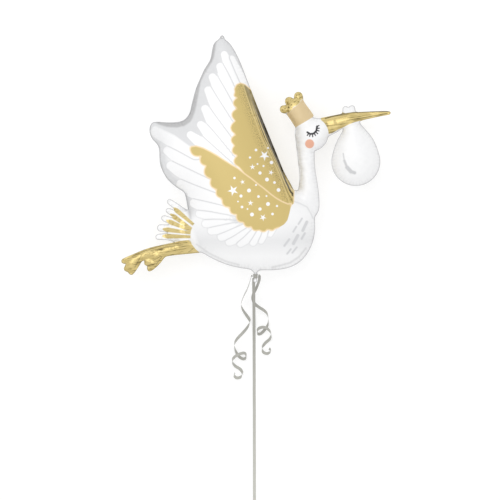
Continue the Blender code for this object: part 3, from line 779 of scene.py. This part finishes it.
# Limits of regions of the squared paper, in x or y. The tail and the wings end at a leaning line.
TAIL_END, TAIL_LEAN, TAIL_TOP = 88.0, 0.35, 79.0
WINGS_END, WINGS_LEAN = 62.0, -0.55
BELLY_BOTTOM, BELLY_TOP = 27.0, 46.0
HEAD_LEFT, HEAD_BOTTOM = 168.0, 60.0
WING_EDGE_END = 100.0
WING_TIP_RIGHT, WING_TIP_BOTTOM = 48.0, 126.0
COVERT_FRONT_LEFT, COVERT_FRONT_TOP = 158.5, 68.5
BEAK_LEFT = 199.0
LEG_TOP = 80.0
ROOT_REFLECTIONS_TOP, TIP_REFLECTIONS_BOTTOM = 100.0, 168.0

# A tail petal is pointed over its first PETAL_POINT squares, and narrows by PETAL_TAPER to its root.
PETAL_HALF_WIDTH, PETAL_POINT, PETAL_TAPER = 2.6, 5.0, 0.45

FINE_CRINKLE = 0.25  # as a share of the coarse crinkles' height
CRINKLE_HEIGHT = 0.004  # metres

# Painted reflections in the mirror-bright gold, and painted reflections in bands across the far wing's
# front from its rim inwards.
GLINT_TONES = [(0.29, SHINE_DARK), (0.37, SHINE_MIDDLE), (0.45, SHINE_SATIN), (0.64, SHINE_BRIGHT)]
FRONT_REFLECTIONS = [
    (0.36, SHINE_DARK), (0.46, SHINE_MIDDLE), (0.52, SHINE_BRIGHT), (0.58, SHINE_DARK),
    (0.64, SHINE_BRIGHT), (0.72, SATIN_GOLD), (0.79, SHINE_MIDDLE), (0.85, SHINE_BRIGHT),
    (0.98, SATIN_GOLD),
]
ROOT_REFLECTIONS = [
    (0.06, SHINE_MIDDLE), (0.14, SHINE_BRIGHT), (0.32, SHINE_SATIN), (0.38, SHINE_DARK),
    (0.54, SHINE_DARK), (0.60, SHINE_BRIGHT), (0.72, SATIN_GOLD), (0.80, SHINE_MIDDLE),
    (0.88, SATIN_GOLD),
]


class FoilPaint(Paint):
    """The foil's print, with painted shade and painted reflections. Distances are in squares, and an area
    is 1 inside it and 0 outside it.
    """

    def __init__(self):
        super().__init__("printed_foil")
        uv = self.nodes.new("ShaderNodeUVMap")
        uv.uv_map = "sheet"
        scaled = self.nodes.new("ShaderNodeVectorMath")
        scaled.operation = "SCALE"
        self.put(uv.outputs["UV"], scaled.inputs[0])
        self.put(GRID_SQUARES, scaled.inputs["Scale"])
        self.squares = scaled.outputs[0]
        self.x, self.y, _ = self.split(self.squares)
        self.find_regions()

    # Areas, and distances to small marks.

    def inside(self, distance, soft=0.35, edge=0.0):
        """Where the distance is less than the edge: it fades over twice soft."""
        depth = self.over(self.minus(edge, distance), 2 * soft)
        return self.maths("ADD", depth, 0.5, clamp=True)

    def above(self, value, limit, soft):
        """Where the value is more than the limit."""
        return self.inside(self.minus(limit, value), soft)

    def below(self, value, limit, soft):
        """Where the value is less than the limit."""
        return self.inside(value, soft, limit)

    def line(self, distance, half_width, soft):
        """A line along the edge of an area."""
        return self.inside(self.maths("ABSOLUTE", distance), soft, half_width)

    def either(self, *areas):
        total = areas[0]
        for area in areas[1:]:
            total = self.maths("MAXIMUM", total, area)
        return total

    def both(self, *areas):
        total = areas[0]
        for area in areas[1:]:
            total = self.times(total, area)
        return total

    def outside(self, area):
        return self.minus(1.0, area)

    def from_point(self, x, y):
        return self.minus(self.x, x), self.minus(self.y, y)

    def beside(self, start, end):
        """How far each place is along a straight stroke and to its side, and the stroke's length."""
        dx, dy = end[0] - start[0], end[1] - start[1]
        length = math.hypot(dx, dy)
        px, py = self.from_point(*start)
        run = self.plus(self.times(px, dx / length), self.times(py, dy / length))
        across = self.minus(self.times(px, dy / length), self.times(py, dx / length))
        return run, across, length

    def segment(self, start, end):
        """Distance to a straight stroke."""
        run, across, length = self.beside(start, end)
        nearest = self.maths("MINIMUM", self.maths("MAXIMUM", run, 0.0), length)
        return self.hypotenuse(self.minus(run, nearest), across)

    def petal(self, tip, root):
        """Distance to a long petal, pointed at its tip."""
        run, across, length = self.beside(tip, root)
        point = self.maths("SQRT", self.over(run, PETAL_POINT, clamp=True))
        taper = self.minus(1.0, self.times(run, PETAL_TAPER / length))
        half_width = self.times(self.times(point, taper), PETAL_HALF_WIDTH)
        beyond = self.maths("MAXIMUM", self.minus(run, length), self.times(run, -1.0))
        return self.maths("MAXIMUM", self.minus(self.maths("ABSOLUTE", across), half_width), beyond)

    def dot(self, x, y):
        return self.hypotenuse(*self.from_point(x, y))

    def star(self, x, y, radius, turn):
        """Distance to a five-pointed star."""
        px, py = self.from_point(x, y)
        angle = self.plus(self.maths("ARCTAN2", py, px), turn + 10 * math.pi)
        fold = self.minus(self.maths("MODULO", angle, 0.4 * math.pi), 0.2 * math.pi)
        tip_angle = self.minus(0.2 * math.pi, self.maths("ABSOLUTE", fold))
        lean = math.radians(72)
        edge = self.times(self.dot(x, y), self.maths("COSINE", self.minus(tip_angle, lean)))
        return self.minus(edge, radius * math.cos(lean))

    def strokes(self, marks, soft):
        """Straight strokes, each a start, an end and a half width."""
        return self.either(*[self.inside(self.segment(a, b), soft, width) for a, b, width in marks])

    def stroke_line(self, points, half_width, soft):
        return self.strokes([(a, b, half_width) for a, b in zip(points, points[1:])], soft)

    def streaks(self, heading, run, width, detail=3.0):
        """Noise drawn out along a heading: run and width are the size of its streaks in squares."""
        mapping = self.nodes.new("ShaderNodeMapping")
        mapping.vector_type = "TEXTURE"
        self.put(self.squares, mapping.inputs["Vector"])
        self.put((0, 0, math.radians(heading)), mapping.inputs["Rotation"])
        self.put((run, width, 1), mapping.inputs["Scale"])
        return self.noise(1.0, detail, mapping.outputs[0], roughness=0.6)

    def cover(self, area, ink, strength=1.0):
        """Paints an area over what is painted so far: print, painted shade and painted reflections alike.
        """
        self.colour = self.mix(self.times(area, strength), self.colour, ink)

    # The print, with its painted shade and painted reflections, from the paper up.

    def find_regions(self):
        self.from_rim = self.attribute("from_rim")
        self.near_side = self.inside(self.attribute("near_side"))
        self.far_side = self.outside(self.near_side)
        self.far_gold = self.both(self.inside(self.attribute("far_gold")), self.far_side)
        self.gold = self.either(self.far_gold, self.inside(self.attribute("near_gold")))
        leaning = self.plus(self.x, self.times(self.y, TAIL_LEAN))
        self.on_tail = self.both(
            self.below(leaning, TAIL_END, soft=2.0), self.below(self.y, TAIL_TOP, soft=1.5)
        )
        leaning = self.plus(self.x, self.times(self.y, WINGS_LEAN))
        self.on_wings = self.both(
            self.below(leaning, WINGS_END, soft=4.0), self.outside(self.on_tail)
        )
        self.soft_tone = self.noise(14.0, 3.0)

    def feathers(self, side):
        """The feathers of one wing as an area, and the lines between and round them."""
        area = self.attribute(side + "_feathers")
        parting = self.line(self.attribute(side + "_parting"), 0.45, soft=0.5)
        between = self.both(parting, self.inside(area, 0.6))
        around = self.times(self.line(area, 0.3, soft=0.5), 0.6)
        return self.inside(area, 0.5), self.either(between, around)

    def paper(self):
        """Pearl white with grey margins, painted soft shade over the belly below the feathers, and the
        feathers' lines.
        """
        white = self.mix(self.soft_tone, *PEARL_WHITES)
        feathers, lines = self.feathers("far")
        far = self.mix(self.either(feathers, self.outside(self.on_wings)), MARGIN_GREY, white)
        far = self.mix(self.times(self.both(lines, self.on_wings), 0.85), far, LINE_GREY)
        feathers, lines = self.feathers("near")
        plain = self.outside(feathers)
        margin = self.both(self.below(self.from_rim, 9.0, soft=4.0), plain, self.on_wings)
        near = self.mix(margin, white, MARGIN_GREY)
        # Painted soft shade over the belly below the near wing's feathers.
        belly_shade = self.both(
            self.below(self.y, BELLY_TOP, soft=14.0), plain, self.outside(self.on_tail),
            self.above(self.y, BELLY_BOTTOM, soft=8.0),
        )
        near = self.mix(self.times(belly_shade, 0.62), near, MARGIN_GREY)
        near = self.mix(self.times(lines, self.blend(self.on_wings, 0.75, 0.85)), near, LINE_GREY)
        self.colour = self.mix(self.near_side, far, near)

    def shading(self):
        """The head's mottle, the near wing's soft edges, the seam's grey line, painted shade at the near
        wing's tip and in creases and strokes beside the seam, and the far wing's dark rim of unprinted
        foil and painted shade.
        """
        on_head = self.both(
            self.above(self.x, HEAD_LEFT, soft=6.0), self.above(self.y, HEAD_BOTTOM, soft=10.0)
        )
        self.cover(self.both(on_head, self.noise(55.0, 4.0)), MARGIN_GREY, strength=0.38)
        wing_edge = self.line(self.attribute("near_side"), 0.7, soft=0.8)
        wing_edge = self.both(wing_edge, self.below(self.x, WING_EDGE_END, soft=2.0))
        self.cover(wing_edge, MARGIN_GREY, strength=0.6)
        # Painted soft shade over the near wing's tip.
        wing_tip_shade = self.both(
            self.near_side, self.below(self.x, WING_TIP_RIGHT, soft=9.0),
            self.above(self.y, WING_TIP_BOTTOM, soft=6.0),
        )
        self.cover(wing_tip_shade, MARGIN_GREY, strength=0.45)
        # Painted shade in creases beside the seam, in a wave along the outline.
        phase = self.plus(self.times(self.attribute("along_rim"), 1.7), self.times(self.soft_tone, 22.0))
        crease_shade = self.above(self.maths("SINE", phase), 0.75, soft=0.25)
        self.cover(self.both(self.below(self.from_rim, 3.5, soft=2.5), crease_shade), LINE_GREY, strength=0.24)
        rim = self.below(self.from_rim, self.blend(self.on_wings, 0.95, 1.0), soft=0.45)
        self.cover(rim, RIM_GREY, strength=self.blend(self.on_wings, 0.70, 0.85))
        # Painted soft shade in strokes beside the seam.
        seam_shades = [self.stroke_line(points, half_width, soft=0.9) for points, half_width in SEAM_SHADES]
        self.cover(self.either(*seam_shades), RIM_GREY, strength=0.45)
        # The far wing's dark rim: unprinted foil and painted shade of its side wall.
        self.cover(self.both(self.inside(self.attribute("dark_rim"), 0.9), self.far_side), RIM_GREY)

    def body_marks(self):
        self.cover(self.strokes(BREAST_MARKS, soft=0.5), LINE_GREY, strength=0.70)
        self.cover(self.stroke_line(NECK_LINE, 0.4, soft=0.8), LINE_GREY, strength=0.65)
        self.cover(self.strokes(BUNDLE_FOLD, soft=0.6), LINE_GREY, strength=0.90)

    def wing_gold(self):
        """Satin gold with a cream edge, except along the near wing's front."""
        on_front = self.both(
            self.above(self.x, COVERT_FRONT_LEFT, soft=1.5),
            self.below(self.y, COVERT_FRONT_TOP, soft=1.5),
        )
        self.cream = self.either(
            self.both(self.line(self.attribute("near_gold"), 0.7, soft=0.5), self.outside(on_front)),
            self.both(self.line(self.attribute("far_gold"), 0.6, soft=0.5), self.far_side),
        )
        self.cover(self.gold, SATIN_GOLD)
        self.cover(self.cream, CREAM_INK, strength=0.85)

    def shiny_gold(self):
        """Mirror-bright gold on the legs, beak, crown and tail, coloured with painted reflections in
        streaks, with its dark lines.
        """
        petals = self.either(*[self.inside(self.petal(tip, root)) for tip, root in TAIL_PETALS])
        self.shiny = self.either(self.inside(self.attribute("shiny")), petals)
        on_beak = self.above(self.x, BEAK_LEFT, soft=1.0)
        on_leg = self.below(self.y, LEG_TOP, soft=4.0)
        # Painted reflections: streaks of noise turned into dark and bright gold.
        glints = self.blend(on_beak, self.streaks(20, 1.8, 1.8), self.streaks(9, 22, 1.2))
        glints = self.blend(on_leg, glints, self.streaks(11, 13, 1.2, detail=4.0))
        tone = self.ramp(glints, GLINT_TONES)
        # The painted reflections are darker near the outline and brighter on the tail petals.
        rim = self.below(self.from_rim, 0.8, soft=0.5)
        tone = self.mix(self.times(rim, self.blend(on_beak, 0.6, 0.4)), tone, SHINE_MIDDLE)
        tone = self.mix(self.times(petals, 0.5), tone, SHINE_BRIGHT)
        self.cover(self.shiny, tone)
        lines = [self.stroke_line(BEAK_TOP_LINE, 0.6, soft=0.5)]
        lines.append(self.stroke_line(BEAK_TIP_LINE, 0.3, soft=0.4))
        lines += [self.stroke_line(points, 0.15, soft=0.35) for points in LEG_LINES]
        self.cover(self.both(self.either(*lines), self.shiny), SHINE_DARK, strength=0.85)

    def front_reflections(self):
        """Painted reflections in bands along the far wing's front, from its rim inwards, with dark specks
        behind them and a painted highlight line at their inner edge.
        """
        depth = self.attribute("facets")
        bare = self.both(self.far_gold, self.outside(self.cream))
        self.reflecting_front = self.both(self.inside(depth, 1.2), bare)
        to_edge = self.maths("MAXIMUM", self.times(depth, -1.0), 0.01)
        share = self.over(self.from_rim, self.plus(self.from_rim, to_edge))
        beside_rim = self.nodes.new("ShaderNodeCombineXYZ")
        self.put(self.over(self.from_rim, 2.4), beside_rim.inputs["X"])
        self.put(self.over(self.y, 45.0), beside_rim.inputs["Y"])
        wander = self.minus(self.noise(1.0, 2.0, beside_rim.outputs[0]), 0.5)
        share = self.plus(share, self.times(wander, 0.30))
        at_root = self.below(self.y, ROOT_REFLECTIONS_TOP, soft=4.0)
        at_tip = self.above(self.y, TIP_REFLECTIONS_BOTTOM, soft=12.0)
        reflection_bands = self.mix(at_root, self.ramp(share, FRONT_REFLECTIONS), self.ramp(share, ROOT_REFLECTIONS))
        reflection_bands = self.mix(at_tip, reflection_bands, SHINE_MIDDLE_SATIN)
        specks = self.below(self.noise(0.9, 1.0, self.squares), 0.46, soft=0.03)
        self.cover(self.both(self.below(depth, 4.0, soft=5.0), bare, specks), SHINE_DARK, strength=0.60)
        self.cover(self.reflecting_front, reflection_bands)
        # A painted highlight line along the inner edge of the painted reflections.
        self.cover(self.both(self.line(depth, 0.45, soft=0.4), bare), SHINE_BRIGHT, strength=0.8)

    def crown_band(self):
        self.cover(self.inside(self.attribute("crown_band")), CROWN_TAN)

    def scatter(self):
        """White stars and dots over the gold."""
        stars = [self.inside(self.star(*star), 0.3) for star in STARS]
        dots = [self.inside(self.dot(x, y), 0.3, radius) for x, y, radius in DOTS]
        self.cover(self.both(self.either(*stars, *dots), self.gold), WHITE_INK)

    def face(self):
        x, y, radius = CHEEK
        self.cover(self.inside(self.dot(x, y), 0.4, radius), CHEEK_PEACH)
        lashes = []
        for tip in LASH_TIPS:
            out = (Vector(tip) - Vector(LASH_CENTRE)).normalized()
            lashes.append((Vector(LASH_CENTRE) + out * LASH_ROOT_RADIUS, tip, 0.60))
        eyelid = self.stroke_line(EYELID, 0.95, soft=0.25)
        self.cover(self.either(eyelid, self.strokes(lashes, soft=0.22)), EYE_INK)

    def finish(self):
        """The mirror-bright gold is more metallic, smoother and more crinkled than the rest."""
        mirror = self.either(self.shiny, self.reflecting_front)
        self.surface(
            Base_Color=self.colour,
            Metallic=self.blend(mirror, self.blend(self.gold, 0.05, 0.15), 0.55),
            Roughness=self.blend(mirror, self.blend(self.gold, 0.45, 0.50), 0.30),
        )
        fine = self.times(self.noise(160.0, 3.0, roughness=0.6), FINE_CRINKLE)
        heights = self.plus(self.noise(42.0, 4.0, roughness=0.55), fine)
        self.bump(heights, self.plus(0.10, self.times(mirror, 0.30)), CRINKLE_HEIGHT)


def foil_material():
    p = FoilPaint()
    p.paper()
    p.shading()
    p.body_marks()
    p.wing_gold()
    p.shiny_gold()
    p.front_reflections()
    p.crown_band()
    p.scatter()
    p.face()
    p.finish()
    return p.material


# Studio.

FLOOR_HALF_SIZE = 30
FLOOR_GREY = (0.50, 0.50, 0.50, 1)
FLOOR_GLOW = 0.53
SKY_STRENGTH = 0.84
WHITE_LIGHT = (1, 1, 1, 1)
LIGHTS_AIM = Vector((0, 0, 0.1))


def floor():
    bm = bmesh.new()
    bmesh.ops.create_grid(bm, x_segments=1, y_segments=1, size=FLOOR_HALF_SIZE)
    mesh = bpy.data.meshes.new("floor")
    bm.to_mesh(mesh)
    bm.free()
    p = Paint("paper_white_floor")
    p.surface(
        Base_Color=FLOOR_GREY, Roughness=0.9, Emission_Color=WHITE_LIGHT, Emission_Strength=FLOOR_GLOW
    )
    mesh.materials.append(p.material)
    link(bpy.data.objects.new("floor", mesh))


def square_light(name, location, side, power):
    data = bpy.data.lights.new(name, "AREA")
    data.shape = "SQUARE"
    data.size = side
    data.energy = power
    light = link(bpy.data.objects.new(name, data))
    light.location = location
    light.rotation_euler = (LIGHTS_AIM - light.location).to_track_quat("-Z", "Y").to_euler()


def camera():
    """A long lens straight above, whose picture is PICTURE_SIDE across at the height of the seam."""
    data = bpy.data.cameras.new("camera")
    data.lens = CAMERA_LENS
    data.sensor_width = CAMERA_FILM
    view = link(bpy.data.objects.new("camera", data))
    view.location = place(*PICTURE_MIDDLE, SEAM_LEVEL + EYE_HEIGHT)
    bpy.context.scene.camera = view


def studio():
    scene = bpy.context.scene
    scene.world = bpy.data.worlds.new("studio")
    scene.world.use_nodes = True
    background = scene.world.node_tree.nodes["Background"]
    background.inputs["Color"].default_value = WHITE_LIGHT
    background.inputs["Strength"].default_value = SKY_STRENGTH
    square_light("key", location=(-0.9, 1.1, 3.6), side=3.0, power=40)
    square_light("fill", location=(1.4, -0.9, 3.4), side=2.4, power=7)
    scene.view_settings.view_transform = "Standard"


ribbons()
printed_foil()
floor()
camera()
studio()
